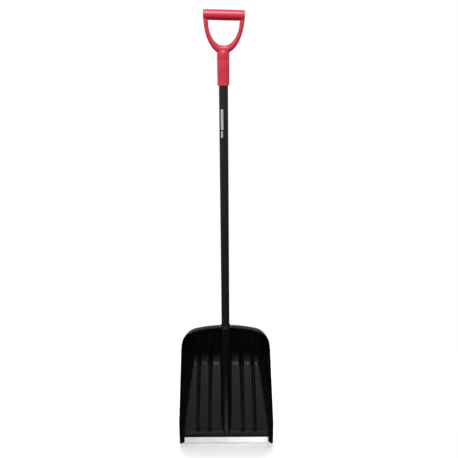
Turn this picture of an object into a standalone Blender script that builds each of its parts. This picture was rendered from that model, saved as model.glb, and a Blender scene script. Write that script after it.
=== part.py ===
"""Snow shovel: a moulded scoop with an aluminium wear edge, a straight tube shaft and a D-grip.

Run with: blender --background --python part.py
Units are metres, +Z up. The shaft stands along +Z and the scoop's load face looks along -Y.
"""
import math

import bmesh
import bpy
from mathutils import Matrix, Vector

MM = 0.001

# ---------------------------------------------------------------- driving sizes, in millimetres
AXIS_Y = -4.9          # the shaft's axis, measured from the middle of the whole shovel's depth
GAP = 0.3               # clearance between pieces that touch

# shaft
SHAFT_R = 13.5
SHAFT_WALL = 1.5
SHAFT_BOTTOM = 150.5
SHAFT_TOP = 1371.0
BORE_R = SHAFT_R + GAP

# scoop: the pan leans back going up, the back wall leans forward, the hood curls over to the rim
SKIN = 3.0              # moulded wall thickness
LIFT = math.radians(15.0)
RIDGE_R = 18.5          # the ridge is the front of the shaft's socket
TIP_Z = 31.0            # where the ridge runs out into the pan
PAN_END_Z = 38.0        # the pan's flat face ends here and steps back to the lip
BEND_Z = 294.0          # the pan bends sharply into the back wall
BEND_R = 40.0
WALL_Y, WALL_Z = 49.9, 334.0    # and the back wall leans gently forward around here
WALL_R = 300.0
HOOD_Y, HOOD_Z = 6.0, 494.0
HOOD_R = 20.0
RIM_Y, RIM_Z = -18.0, 492.0
CROWN = 11.5            # the hood's rim is this much higher in the middle than at its corners
CORNER_X = 100.0        # the rim's corners start here
CORNER_Z = 434.0        # and end here
CORNER_REACH = 50.0     # the longest run a corner takes from the floor
CORNER_BULGE = 0.56     # how far the corner's handles reach towards it
CORNER_STEPS = 4
HOOD_START = 0.55       # from here up, the corners' rounding reaches on along the side walls
HOOD_SHARE = 0.82       # up to this share of them
FOOT_TURN = 8.0         # the rounding between the floor and the side walls
LIP_TURN = 1.2          # and along the lip
SIDE_FLARE = math.tan(math.radians(23.2))
SIDE_RIM_Y = -46.0      # the side walls' front edge at floor level
SIDE_RIM_LEAN = 0.0526
WIDE_HALF = 169.0       # half the width below WIDE_Z
WIDE_Z = 106.0
SIDE_TAPER = 0.0585     # lost on each side for each millimetre above WIDE_Z

# ribs, as their distance from the middle at the bend
RIB_X = (57.5, 98.5)
RIB_HALF = 6.0
RIB_RISE = 4.5
RIB_TIP_Z = 46.0
RIB_FULL_Z = 60.0
RIB_FADE_Z = 440.0
RIB_END_Z = 476.0
RIB_OUTLINE = ((-1.0, 0.0), (-0.7, 0.72), (0.0, 1.0), (0.7, 0.72), (1.0, 0.0))

# lip, horns and wear edge, in the pan's own slope
LIP_STEP = 3.9          # the lip lies this far behind the pan's face
LIP_Z = 26.0
LIP_END_Z = 4.2
HORN_Z = 22.0           # the side walls' front corners round off from here
HORN_END_Z = 7.0
HORN_LEAST = 0.12       # the share of the side wall left at the horns' ends
LIP_ROWS = (LIP_END_Z, HORN_END_Z, 9.0, 12.0, 16.5, HORN_Z, LIP_Z)
PAN_ROWS = (PAN_END_Z, RIB_TIP_Z, 52.0, RIB_FULL_Z, 160.0)
STRIP_T = 1.4
STRIP_HALF = 156.0
STRIP_TOP_Z = 24.5
STRIP_BACK_Z = 21.0
RIVET_X = (-136.0, -68.0, 0.0, 68.0, 136.0)
RIVET_UP = 15.0
RIVET_R = 2.0
RIVET_HEAD_R = 4.0
RIVET_HEAD = 1.4

# socket behind the ridge
WEB_FOOT_Z = 100.0
WEB_TOP_Z = 452.0
WEB_TOP_BACK = 13.0     # how far behind the hood's face the web's top reaches
TRIM_TOP_Z = 170.0      # the socket is cut off at the skin up to here
NOSE_FLOOR_Z = TIP_Z + 14.0
NOSE_TOP = 142.0        # the stop under the shaft starts here
STOP_TOP = 150.0
SLOTS = ((196.0, 292.0), (300.0, 420.0))
SLOT_HALF = 14.0
COLLAR_TOP = 499.0
COLLAR_R = 16.6
COLLAR_FOOT_R = 21.5
COLLAR_FOOT_Z = 479.0

# screws: height and the plane their heads sit on
BLADE_SCREWS = {"blade_screw_lower": (174.0, 28.5), "blade_screw_upper": (452.0, 24.0)}
GRIP_SCREW_Z = 1330.0
GRIP_SCREW_Y = 15.6
SCREW_R = 2.0
SCREW_HEAD_R = 4.0
SCREW_HEAD = 2.4
SCREW_HOLE_R = SCREW_R + GAP
BOSS_R = 6.5

# grip
BAR_Z = 1482.9
BAR_HALF = 58.25
BAR_END_R = 13.7
BAR_MID_R = 14.3
BAR_CHAMFER = 1.4
OPENING_HALF = 44.2     # the opening's outline is half an ellipse under the bar
OPENING_DEPTH = 62.8
OPENING_Z = 1465.0
YOKE_HALF = 58.0        # and so is the yoke's outer outline
YOKE_DEPTH = 102.0
YOKE_Z = 1480.0
YOKE_THICK = 11.5       # half the yoke's front-to-back size
YOKE_POWER = 0.8        # below 1 makes its sections squarer than ellipses
YOKE_STATIONS, YOKE_SIDES = 24, 16
SOCKET_TOP = 1391.0
SOCKET_TOP_R = 17.3
SOCKET_DOME = ((0.0, 0.0), (6.5, 1.3), (12.0, 5.0), (15.6, 10.5))    # radii and drops from the top
SOCKET_LIP = ((0.5, 2.5), (0.5, 1.0), (-0.4, 0.0))                    # swells and rises at the bottom
SOCKET_LINE_Z = 1366.5
SOCKET_BOTTOM = 1293.0
SOCKET_BOTTOM_R = 16.1

ROUND = 32              # sides on the shaft and its sockets


# ---------------------------------------------------------------- scene and materials
def clear_scene():
    for ob in list(bpy.data.objects):
        bpy.data.objects.remove(ob, do_unlink=True)


def new_collection(name):
    col = bpy.data.collections.new(name)
    bpy.context.scene.collection.children.link(col)
    return col


def material(name, color, roughness, metallic=0.0):
    mat = bpy.data.materials.new(name)
    mat.use_nodes = True
    shader = mat.node_tree.nodes["Principled BSDF"]
    shader.inputs["Base Color"].default_value = (*color, 1.0)
    shader.inputs["Roughness"].default_value = roughness
    shader.inputs["Metallic"].default_value = metallic
    mat.diffuse_color = (*color, 1.0)
    return mat


clear_scene()
PARTS = new_collection("snow_shovel")
CUTTERS = new_collection("cutters")
FRAME = bpy.data.objects.new("shovel_frame", None)
FRAME.location = (0.0, AXIS_Y * MM, 0.0)
PARTS.objects.link(FRAME)

BLACK_PLASTIC = material("black_plastic", (0.012, 0.012, 0.012), 0.32)
BLACK_COAT = material("black_coat", (0.02, 0.018, 0.016), 0.42)
RED_PLASTIC = material("red_plastic", (0.60, 0.03, 0.06), 0.35)
ALUMINIUM = material("aluminium", (0.80, 0.80, 0.80), 0.3, 1.0)
ZINC = material("zinc", (0.62, 0.63, 0.65), 0.35, 1.0)


def add_part(ob, mat):
    """Puts a finished object among the parts, on the shovel's frame."""
    for col in list(ob.users_collection):
        col.objects.unlink(ob)
    PARTS.objects.link(ob)
    ob.parent = FRAME
    ob.data.materials.clear()
    ob.data.materials.append(mat)
    ob.data.shade_smooth()
    ob.data.set_sharp_from_angle(angle=math.radians(35.0))
    return ob


def add_cutter(ob):
    """Hides a guide solid that only cuts or joins others."""
    for col in list(ob.users_collection):
        col.objects.unlink(ob)
    CUTTERS.objects.link(ob)
    ob.hide_render = True
    ob.display_type = "WIRE"
    return ob


def object_from_bmesh(name, bm):
    bmesh.ops.recalc_face_normals(bm, faces=bm.faces)
    mesh = bpy.data.meshes.new(name)
    bm.to_mesh(mesh)
    bm.free()
    ob = bpy.data.objects.new(name, mesh)
    bpy.context.scene.collection.objects.link(ob)
    return ob


def boolean(ob, other, operation):
    mod = ob.modifiers.new(other.name, "BOOLEAN")
    mod.operation = operation
    mod.solver = "EXACT"
    mod.object = other


# ---------------------------------------------------------------- solids by primitive, turning and extrusion
def rod(name, radius, low, high, sides=ROUND):
    """A cylinder between two points, given in millimetres from the shaft's axis at floor level."""
    low, high = Vector(low) * MM, Vector(high) * MM
    run = high - low
    bm = bmesh.new()
    turn = run.to_track_quat("Z", "Y").to_matrix().to_4x4()
    place = Matrix.Translation((low + high) / 2) @ turn
    bmesh.ops.create_cone(bm, cap_ends=True, segments=sides, radius1=radius * MM, radius2=radius * MM,
                          depth=run.length, matrix=place)
    return object_from_bmesh(name, bm)


def block(name, low, high):
    """A box between two corners, in millimetres."""
    low, high = Vector(low) * MM, Vector(high) * MM
    bm = bmesh.new()
    place = Matrix.Translation((low + high) / 2) @ Matrix.Diagonal((*(high - low), 1.0))
    bmesh.ops.create_cube(bm, size=1.0, matrix=place)
    return object_from_bmesh(name, bm)


def turned(name, profile, sides=ROUND, place=None):
    """Turns a profile of (radius, height) pairs, top to bottom, about +Z; its ends lie on the axis."""
    mesh = bpy.data.meshes.new(name)
    points = [(r * MM, 0.0, z * MM) for r, z in profile]
    mesh.from_pydata(points, [(i, i + 1) for i in range(len(points) - 1)], [])
    ob = bpy.data.objects.new(name, mesh)
    bpy.context.scene.collection.objects.link(ob)
    mod = ob.modifiers.new("turn", "SCREW")
    mod.axis = "Z"
    mod.steps = sides
    mod.render_steps = sides
    mod.use_merge_vertices = True
    mod.merge_threshold = 0.00001
    if place is not None:
        ob.matrix_world = place
    return baked(ob)


def baked(ob):
    """Replaces an object with the mesh its modifiers or curve make, in place."""
    bpy.context.view_layer.update()
    depsgraph = bpy.context.evaluated_depsgraph_get()
    mesh = bpy.data.meshes.new_from_object(ob.evaluated_get(depsgraph))
    mesh.transform(ob.matrix_world)
    name = ob.name
    bpy.data.objects.remove(ob, do_unlink=True)
    bm = bmesh.new()
    bm.from_mesh(mesh)
    bpy.data.meshes.remove(mesh)
    bmesh.ops.remove_doubles(bm, verts=bm.verts, dist=0.000001)
    return object_from_bmesh(name, bm)


def side_plate(name, outline, half):
    """Extrudes a (y, z) outline, in millimetres, to both sides of the middle plane."""
    curve = bpy.data.curves.new(name, "CURVE")
    curve.dimensions = "2D"
    curve.fill_mode = "BOTH"
    curve.extrude = half * MM
    spline = curve.splines.new("POLY")
    spline.points.add(len(outline) - 1)
    for point, (y, z) in zip(spline.points, outline):
        point.co = (y * MM, z * MM, 0.0, 1.0)
    spline.use_cyclic_u = True
    ob = bpy.data.objects.new(name, curve)
    bpy.context.scene.collection.objects.link(ob)
    axes = Matrix(((0, 0, 1), (1, 0, 0), (0, 1, 0))).to_4x4()
    ob.matrix_world = axes
    return baked(ob)


# ---------------------------------------------------------------- the scoop's shape
def pan_y(z):
    """The pan's front face in the middle plane."""
    return -RIDGE_R + (z - TIP_Z) * math.tan(LIFT)


def half_width(z):
    """Half the width across the side walls' front edges."""
    z = min(z, CORNER_Z)
    return WIDE_HALF - SIDE_TAPER * max(z - WIDE_Z, 0.0)


def side_rim_y(z):
    return SIDE_RIM_Y + SIDE_RIM_LEAN * min(z, CORNER_Z)


def rounded(before, corner, after, radius, count):
    """Points on the arc that rounds a corner between two straight runs."""
    before, corner, after = Vector(before), Vector(corner), Vector(after)
    a, b = (before - corner).normalized(), (after - corner).normalized()
    half_turn = (math.pi - a.angle(b)) / 2
    reach = radius * math.tan(half_turn)
    centre = corner + (a + b).normalized() * (radius / math.cos(half_turn))
    start = (corner + a * reach - centre).normalized()
    end = (corner + b * reach - centre).normalized()
    return [tuple(centre + start.slerp(end, i / count) * radius) for i in range(count + 1)]


def spine():
    """(y, z) stations up the middle plane: lip, pan, bend, back wall, hood and rim."""
    step = LIP_STEP / math.cos(LIFT)
    pan_foot = (pan_y(PAN_END_Z), PAN_END_Z)
    bend = (pan_y(BEND_Z), BEND_Z)
    wall = (WALL_Y, WALL_Z)
    hood = (HOOD_Y, HOOD_Z)
    rim = (RIM_Y, RIM_Z)
    stations = [(pan_y(z) + step, z) for z in LIP_ROWS]
    stations += [(pan_y(z), z) for z in PAN_ROWS]
    stations += rounded(pan_foot, bend, wall, BEND_R, 3)
    stations += rounded(bend, wall, hood, WALL_R, 3)
    stations += [tuple((Vector(wall) + Vector(hood)) / 2)]
    stations += rounded(wall, hood, rim, HOOD_R, 5)
    stations += [rim]
    return stations


def rib_height(z):
    grow = min(max((z - RIB_TIP_Z) / (RIB_FULL_Z - RIB_TIP_Z), 0.0), 1.0)
    fade = min(max((RIB_END_Z - z) / (RIB_END_Z - RIB_FADE_Z), 0.0), 1.0)
    return RIB_RISE * grow * fade


def floor_points(y, z, reach):
    """Half a section's floor, from the middle to where its corner starts to round."""
    scale = half_width(z) / half_width(BEND_Z)
    rise = rib_height(z)
    points = [(0.0, 0.0)]
    for centre in RIB_X:
        for offset, share in RIB_OUTLINE:
            points.append((centre * scale + offset * RIB_HALF, rise * share))
    points.append((reach, 0.0))
    return [Vector((x, y - lift, z)) for x, lift in points]


def climbs(stations):
    """How far each station has come from the bend to the rim, from 0 to 1, along the spine."""
    lengths = [0.0]
    for before, after in zip(stations, stations[1:]):
        step = math.dist(before, after) if after[1] > BEND_Z else 0.0
        lengths.append(lengths[-1] + step)
    return [length / lengths[-1] for length in lengths]


def section(y, z, up):
    """Half a cross-section of the scoop's front face, from the middle to the side wall's front edge."""
    rim_z = z if up == 0.0 else BEND_Z + (CORNER_Z - BEND_Z) * up
    corner_x = half_width(z) - (y - side_rim_y(z)) * SIDE_FLARE
    hood = max((up - HOOD_START) / (1.0 - HOOD_START), 0.0)
    corner = Vector((corner_x, y, z - CROWN * up))
    edge = Vector((half_width(rim_z), side_rim_y(rim_z), rim_z))
    if z < HORN_Z:
        share = (HORN_Z - z) / (HORN_Z - HORN_END_Z)
        edge = corner.lerp(edge, max(math.sqrt(max(1.0 - share * share, 0.0)), HORN_LEAST))
    turn = FOOT_TURN + (corner_x - CORNER_X - FOOT_TURN) * up ** 2
    if z < PAN_END_Z:
        turn = LIP_TURN
    reach = corner_x - min(turn, CORNER_REACH)
    floor = floor_points(y, z, reach)
    for point in floor:
        point.z -= CROWN * up * min(abs(point.x) / CORNER_X, 1.0) ** 2
    start = floor[-1]
    wall = edge - corner
    share = min((corner.x - start.x) / wall.length, 0.5)
    turn_end = corner + wall * (share + (HOOD_SHARE - share) * hood)
    inner = start.lerp(corner, CORNER_BULGE)
    outer = turn_end.lerp(corner, CORNER_BULGE)
    curve = []
    for k in range(1, CORNER_STEPS + 1):
        t = k / CORNER_STEPS
        curve.append((1 - t) ** 3 * start + 3 * (1 - t) ** 2 * t * inner
                     + 3 * (1 - t) * t * t * outer + t ** 3 * turn_end)
    return floor + curve + [edge]


def scoop_shell():
    """The scoop's open front face, thickened backwards into a moulded skin."""
    bm = bmesh.new()
    rows = []
    stations = spine()
    for (y, z), up in zip(stations, climbs(stations)):
        half = section(y, z, up)
        full = [Vector((-p.x, p.y, p.z)) for p in reversed(half[1:])] + half
        rows.append([bm.verts.new(p * MM) for p in full])
    for low, high in zip(rows, rows[1:]):
        for i in range(len(low) - 1):
            bm.faces.new((low[i], low[i + 1], high[i + 1], high[i]))
    mesh = bpy.data.meshes.new("blade")
    bm.to_mesh(mesh)
    bm.free()
    ob = bpy.data.objects.new("blade", mesh)
    bpy.context.scene.collection.objects.link(ob)
    mod = ob.modifiers.new("skin", "SOLIDIFY")
    mod.thickness = SKIN * MM
    mod.offset = -1.0
    mod.use_even_offset = True
    return baked(ob)


def socket_body():
    """The shaft's socket: a long tube with a web back to the skin, cut off at the skin."""
    body = add_cutter(rod("socket_tube", RIDGE_R, (0, 0, TIP_Z - 6), (0, 0, COLLAR_FOOT_Z)))
    deep = SKIN / 2
    foot = (pan_y(WEB_FOOT_Z) + deep, WEB_FOOT_Z)
    bend = (pan_y(BEND_Z) + deep - 1.0, BEND_Z)
    wall = (WALL_Y + deep - 1.0, WALL_Z)
    top = (HOOD_Y + WEB_TOP_BACK, WEB_TOP_Z)
    outline = [(0.0, WEB_FOOT_Z), foot, bend, wall, top, (0.0, WEB_TOP_Z)]
    web = add_cutter(side_plate("socket_web", outline, RIDGE_R - 0.05))
    behind = [(pan_y(z) + deep, z) for z in (0.0, TRIM_TOP_Z)]
    trim = add_cutter(side_plate("behind_pan", behind + [(80.0, TRIM_TOP_Z), (80.0, 0.0)], 30.0))
    boolean(body, web, "UNION")
    boolean(body, trim, "DIFFERENCE")
    return add_cutter(baked(body))


def shaft_channel():
    """The shaft's bore, opened to the back by two long slots between cross webs."""
    bore = add_cutter(rod("shaft_bore", BORE_R, (0, 0, STOP_TOP), (0, 0, COLLAR_TOP + 5.0)))
    for low, high in SLOTS:
        slot = add_cutter(block("back_slot", (-SLOT_HALF, -1.0, low), (SLOT_HALF, 90, high)))
        boolean(bore, slot, "UNION")
    return baked(bore)


def nose_hollow():
    """The hollow under the ridge's nose, open to the back."""
    radius = RIDGE_R - SKIN
    hollow = add_cutter(rod("nose_bore", radius, (0, 0, NOSE_FLOOR_Z), (0, 0, NOSE_TOP), 24))
    corners = (0.5 - radius, 1.0, NOSE_FLOOR_Z + 2.0), (radius - 0.5, 60, NOSE_TOP - 2.0)
    slot = add_cutter(block("nose_slot", *corners))
    boolean(hollow, slot, "UNION")
    return baked(hollow)


def blade():
    shell = scoop_shell()
    boolean(shell, socket_body(), "UNION")
    collar = turned("collar", [(0.0, COLLAR_TOP), (COLLAR_R, COLLAR_TOP), (COLLAR_R + 0.4, COLLAR_TOP - 7.0),
                               (COLLAR_R + 2.0, COLLAR_FOOT_Z + 6.0), (COLLAR_FOOT_R, COLLAR_FOOT_Z),
                               (RIDGE_R, COLLAR_FOOT_Z - 4.0), (0.0, COLLAR_FOOT_Z - 4.0)])
    boolean(shell, add_cutter(collar), "UNION")
    for name, (z, seat) in BLADE_SCREWS.items():
        boss = add_cutter(rod(name + "_boss", BOSS_R, (0, BORE_R + 1.0, z), (0, seat, z), 20))
        boolean(shell, boss, "UNION")
    shell = baked(shell)
    cutters = [shaft_channel(), nose_hollow()]
    for name, (z, seat) in BLADE_SCREWS.items():
        cutters.append(rod(name + "_hole", SCREW_HOLE_R, (0, 0, z), (0, seat + 5.0, z), 16))
    for x in RIVET_X:
        cutters.append(rivet_rod("rivet_hole", x, RIVET_R + GAP, 0.0, 14.0))
    for cutter in cutters:
        boolean(shell, add_cutter(cutter), "DIFFERENCE")
    return add_part(baked(shell), BLACK_PLASTIC)


# ---------------------------------------------------------------- wear edge and rivets
def slope_point(up, depth):
    """(y, z) of a point so far up the pan's slope from floor level, and so deep behind the pan's face."""
    y = pan_y(0.0) + up * math.sin(LIFT) + depth * math.cos(LIFT)
    return (y, up * math.cos(LIFT) - depth * math.sin(LIFT))


def rivet_rod(name, x, radius, front, back, sides=16):
    """A cylinder square to the pan's slope; front and back are depths behind its face."""
    y0, z0 = slope_point(RIVET_UP, front)
    y1, z1 = slope_point(RIVET_UP, back)
    return rod(name, radius, (x, y1, z1), (x, y0, z0), sides)


FRONT_LEG = LIP_STEP - GAP - STRIP_T        # depth of the wear edge's front face
BACK_LEG = LIP_STEP + SKIN + GAP            # depth of its back leg's inner face


def wear_edge():
    """A strip folded over the lip: front leg, round nose at floor level, back leg."""
    inner_front, inner_back = LIP_STEP - GAP, BACK_LEG
    middle = (inner_front + inner_back) / 2
    inner_r = (inner_back - inner_front) / 2
    outer_r = inner_r + STRIP_T
    centre_up = (outer_r + middle * math.sin(LIFT)) / math.cos(LIFT)

    def arc(radius, count, sign):
        points = []
        for i in range(count + 1):
            turn = math.pi * i / count
            up, deep = radius * math.sin(turn), sign * radius * math.cos(turn)
            points.append(slope_point(centre_up - up, middle - deep))
        return points

    top_up, back_up = STRIP_TOP_Z / math.cos(LIFT), STRIP_BACK_Z / math.cos(LIFT)
    outer = [slope_point(top_up, FRONT_LEG)] + arc(outer_r, 8, 1)
    outer.append(slope_point(back_up, BACK_LEG + STRIP_T))
    inner = [slope_point(back_up, inner_back)] + arc(inner_r, 6, -1) + [slope_point(top_up, inner_front)]
    strip = side_plate("wear_edge", outer + inner, STRIP_HALF)
    for x in RIVET_X:
        hole = rivet_rod("strip_hole", x, RIVET_R + GAP, 0.0, 14.0)
        boolean(strip, add_cutter(hole), "DIFFERENCE")
    return add_part(baked(strip), ALUMINIUM)


def rivets():
    """Solid rivets, flush on the load face, with a low round head behind."""
    for number, x in enumerate(RIVET_X, 1):
        back = BACK_LEG + STRIP_T + GAP
        y, z = slope_point(RIVET_UP, back + RIVET_HEAD)
        normal = Vector((0.0, math.cos(LIFT), -math.sin(LIFT)))
        turn = normal.to_track_quat("Z", "Y").to_matrix().to_4x4()
        place = Matrix.Translation(Vector((x, y, z)) * MM) @ turn
        length = RIVET_HEAD + back - FRONT_LEG
        profile = [(0.0, 0.0), (RIVET_HEAD_R * 0.55, -0.25), (RIVET_HEAD_R * 0.9, -0.8),
                   (RIVET_HEAD_R, -RIVET_HEAD), (RIVET_R, -RIVET_HEAD), (RIVET_R, -length), (0.0, -length)]
        add_part(turned("edge_rivet_%d" % number, profile, 16, place), ALUMINIUM)


# ---------------------------------------------------------------- shaft and screws
def screw_sites():
    sites = dict(BLADE_SCREWS)
    sites["grip_screw"] = (GRIP_SCREW_Z, GRIP_SCREW_Y)
    return sites


def shaft():
    tube = rod("shaft_tube", SHAFT_R, (0, 0, SHAFT_BOTTOM), (0, 0, SHAFT_TOP))
    bore = rod("tube_bore", SHAFT_R - SHAFT_WALL, (0, 0, SHAFT_BOTTOM - 5), (0, 0, SHAFT_TOP + 5))
    boolean(tube, add_cutter(bore), "DIFFERENCE")
    for name, (z, seat) in screw_sites().items():
        hole = rod(name + "_pilot", SCREW_HOLE_R, (0, 0, z), (0, seat, z), 16)
        boolean(tube, add_cutter(hole), "DIFFERENCE")
    return add_part(baked(tube), BLACK_COAT)


def screws():
    """Pan-head screws that enter from the back, square to the shaft."""
    for name, (z, seat) in screw_sites().items():
        top = seat + GAP + SCREW_HEAD
        place = Matrix.Translation(Vector((0, top, z)) * MM) @ Matrix.Rotation(-math.pi / 2, 4, "X")
        shank_end = -(top - 6.0)
        profile = [(0.0, 0.0), (SCREW_HEAD_R * 0.6, -0.2), (SCREW_HEAD_R * 0.93, -0.9), (SCREW_HEAD_R, -1.6),
                   (SCREW_HEAD_R, -SCREW_HEAD), (SCREW_R, -SCREW_HEAD), (SCREW_R, shank_end + 3.0),
                   (0.0, shank_end)]
        add_part(turned(name, profile, 16, place), ZINC)


# ---------------------------------------------------------------- D-grip
def crossbar():
    """A slightly barrelled bar across the grip."""
    steps = 8
    profile = [(0.0, BAR_HALF), (BAR_END_R - BAR_CHAMFER, BAR_HALF)]
    for i in range(steps + 1):
        along = 1.0 - 2.0 * i / steps
        radius = BAR_MID_R - (BAR_MID_R - BAR_END_R) * along ** 2
        profile.append((radius, (BAR_HALF - BAR_CHAMFER) * along))
    profile += [(BAR_END_R - BAR_CHAMFER, -BAR_HALF), (0.0, -BAR_HALF)]
    place = Matrix.Translation((0, 0, BAR_Z * MM)) @ Matrix.Rotation(math.pi / 2, 4, "Y")
    return turned("d_grip", profile, ROUND, place)


def yoke():
    """The bow under the bar: rounded sections between the opening's ellipse and the outer ellipse."""
    bm = bmesh.new()
    rings = []
    for i in range(YOKE_STATIONS + 1):
        angle = math.pi * i / YOKE_STATIONS
        inner = Vector((-OPENING_HALF * math.cos(angle), 0, OPENING_Z - OPENING_DEPTH * math.sin(angle)))
        outer = Vector((-YOKE_HALF * math.cos(angle), 0, YOKE_Z - YOKE_DEPTH * math.sin(angle)))
        middle, reach = (inner + outer) / 2, (outer - inner) / 2
        ring = []
        for k in range(YOKE_SIDES):
            around = 2 * math.pi * k / YOKE_SIDES
            across = math.copysign(abs(math.cos(around)) ** YOKE_POWER, math.cos(around))
            deep = math.copysign(abs(math.sin(around)) ** YOKE_POWER, math.sin(around))
            ring.append(bm.verts.new((middle + reach * across + Vector((0, YOKE_THICK * deep, 0))) * MM))
        rings.append(ring)
    for low, high in zip(rings, rings[1:]):
        for k in range(YOKE_SIDES):
            after = (k + 1) % YOKE_SIDES
            bm.faces.new((low[k], low[after], high[after], high[k]))
    bm.faces.new(rings[0])
    bm.faces.new(rings[-1])
    return object_from_bmesh("yoke", bm)


def grip():
    bar = crossbar()
    boolean(bar, add_cutter(yoke()), "UNION")
    profile = [(radius, SOCKET_TOP - drop) for radius, drop in SOCKET_DOME]
    profile += [(SOCKET_TOP_R, SOCKET_TOP - 18.0), (SOCKET_TOP_R - 0.2, SOCKET_LINE_Z),
                (SOCKET_TOP_R - 0.6, SOCKET_LINE_Z - 0.8), (SOCKET_BOTTOM_R, SOCKET_BOTTOM + 4.0)]
    profile += [(SOCKET_BOTTOM_R + swell, SOCKET_BOTTOM + rise) for swell, rise in SOCKET_LIP]
    profile.append((0.0, SOCKET_BOTTOM))
    boolean(bar, add_cutter(turned("grip_socket", profile)), "UNION")
    boolean(bar, add_cutter(rod("grip_bore", BORE_R, (0, 0, SOCKET_BOTTOM - 5), (0, 0, SHAFT_TOP + 1.0))),
            "DIFFERENCE")
    hole = rod("grip_screw_hole", SCREW_HOLE_R, (0, 5, GRIP_SCREW_Z), (0, 30, GRIP_SCREW_Z), 16)
    boolean(bar, add_cutter(hole), "DIFFERENCE")
    floor, mouth = (0, GRIP_SCREW_Y, GRIP_SCREW_Z), (0, 30, GRIP_SCREW_Z)
    seat = rod("grip_screw_seat", SCREW_HEAD_R + 1.5, floor, mouth, 20)
    boolean(bar, add_cutter(seat), "DIFFERENCE")
    return add_part(baked(bar), RED_PLASTIC)


blade()
wear_edge()
rivets()
shaft()
screws()
grip()
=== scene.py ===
"""Looks for the snow shovel: camera, floor, light, materials and the finely modelled scoop and grip."""
import math

import bmesh
import bpy
from mathutils import Matrix, Vector


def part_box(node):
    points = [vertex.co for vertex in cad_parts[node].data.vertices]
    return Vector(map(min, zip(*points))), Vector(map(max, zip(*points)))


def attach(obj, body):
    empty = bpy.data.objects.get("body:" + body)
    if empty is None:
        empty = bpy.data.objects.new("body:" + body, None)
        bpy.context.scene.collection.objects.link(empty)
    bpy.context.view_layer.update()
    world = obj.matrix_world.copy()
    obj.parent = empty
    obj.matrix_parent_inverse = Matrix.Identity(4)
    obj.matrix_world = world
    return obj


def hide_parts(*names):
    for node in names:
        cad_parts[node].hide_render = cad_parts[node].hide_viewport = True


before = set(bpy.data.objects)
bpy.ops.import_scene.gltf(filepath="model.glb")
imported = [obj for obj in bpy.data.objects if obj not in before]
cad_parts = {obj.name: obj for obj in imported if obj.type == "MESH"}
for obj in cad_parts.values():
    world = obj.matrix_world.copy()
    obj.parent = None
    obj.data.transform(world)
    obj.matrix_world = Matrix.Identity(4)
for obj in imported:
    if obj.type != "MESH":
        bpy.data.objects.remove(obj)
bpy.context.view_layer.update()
scene = bpy.context.scene

MM = 0.001
SHAFT_LOW, SHAFT_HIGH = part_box("shaft_tube")
AXIS_Y = (SHAFT_LOW.y + SHAFT_HIGH.y) / 2
FRAME = Matrix.Translation((0.0, AXIS_Y, 0.0))      # the shaft's axis at floor level

# ---------------------------------------------------------------- camera
LOOK_DOWN = math.radians(20.368)
DISTANCE = 1.6696
AIM = Vector((0.0139, AXIS_Y, 0.8461))
ROLL = math.radians(0.317)
LENS = 40.82


def make_camera():
    """A camera with its aim near the middle of the shovel, slightly rolled."""
    data = bpy.data.cameras.new("camera")
    data.lens = LENS
    data.sensor_width = 36.0
    camera = bpy.data.objects.new("camera", data)
    scene.collection.objects.link(camera)
    back = Vector((0.0, -math.cos(LOOK_DOWN), math.sin(LOOK_DOWN)))
    look = (-back).to_track_quat("-Z", "Y").to_matrix().to_4x4()
    camera.matrix_world = Matrix.Translation(AIM + back * DISTANCE) @ look @ Matrix.Rotation(-ROLL, 4, "Z")
    scene.camera = camera


# ---------------------------------------------------------------- light and floor
BACKDROP = 0.995
FLOOR_SIDE, FLOOR_TONE, FLOOR_GLOW = 60.0, 0.6, 0.2
FLOOR_FADE = (0.25, 0.9)        # how far from the shovel the floor starts and ends turning into the backdrop
# the room's brightness by elevation in degrees, as reflections see it
ROOM = ((-90, 0.01), (-38, 0.04), (-31, 0.045), (-28.4, 0.075), (-25, 0.15), (-21.7, 0.19), (-15, 0.27),
        (-11.5, 0.34), (-8, 0.43), (-5, 0.62), (4, 0.72), (35, 0.6), (90, 0.5))
ROOM_GRAIN, ROOM_UNEVEN, ROOM_LEAN = 9.0, (1.5, 2.5), (1.2, 0.8)
# what the floor ahead sends back, within a narrow fan
AHEAD = ((-90, 0.0), (-60, 0.004), (-53, 0.08), (-49, 0.2), (-45, 0.4), (-42, 0.52), (-38.9, 0.52),
         (-38.2, 0.0), (90, 0.0))
AHEAD_SPREAD = (0.26, 0.55)     # sideways share of the direction where the fan starts and ends fading
# a row of small lamps between two elevations, brighter to the right, with gaps where a noise is low
LAMPS = (-44.0, -42.9)
LAMP_SPREAD, LAMP_LEAN = 0.09, (0.5, 2.2)
LAMP_GRAIN, LAMP_GAPS, LAMP_LEVELS = 45.0, (0.40, 0.62), (0.4, 7.0)
LAMP_COLOR = (1.0, 0.97, 0.93, 1.0)
# area lights: from, towards, side, power
KEY = ((-0.15, -1.55, 3.55), (0.0, 0.0, 1.45), 1.2, 70.0)
FLOOR_LIGHT = ((0.0, 0.2, 2.6), (0.0, 0.2, 0.0), 0.8, 95.0)
LOW_CARD = ((0.5, -0.45, 0.2), (0.16, -0.03, 0.01), 0.3, 5.0)


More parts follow.
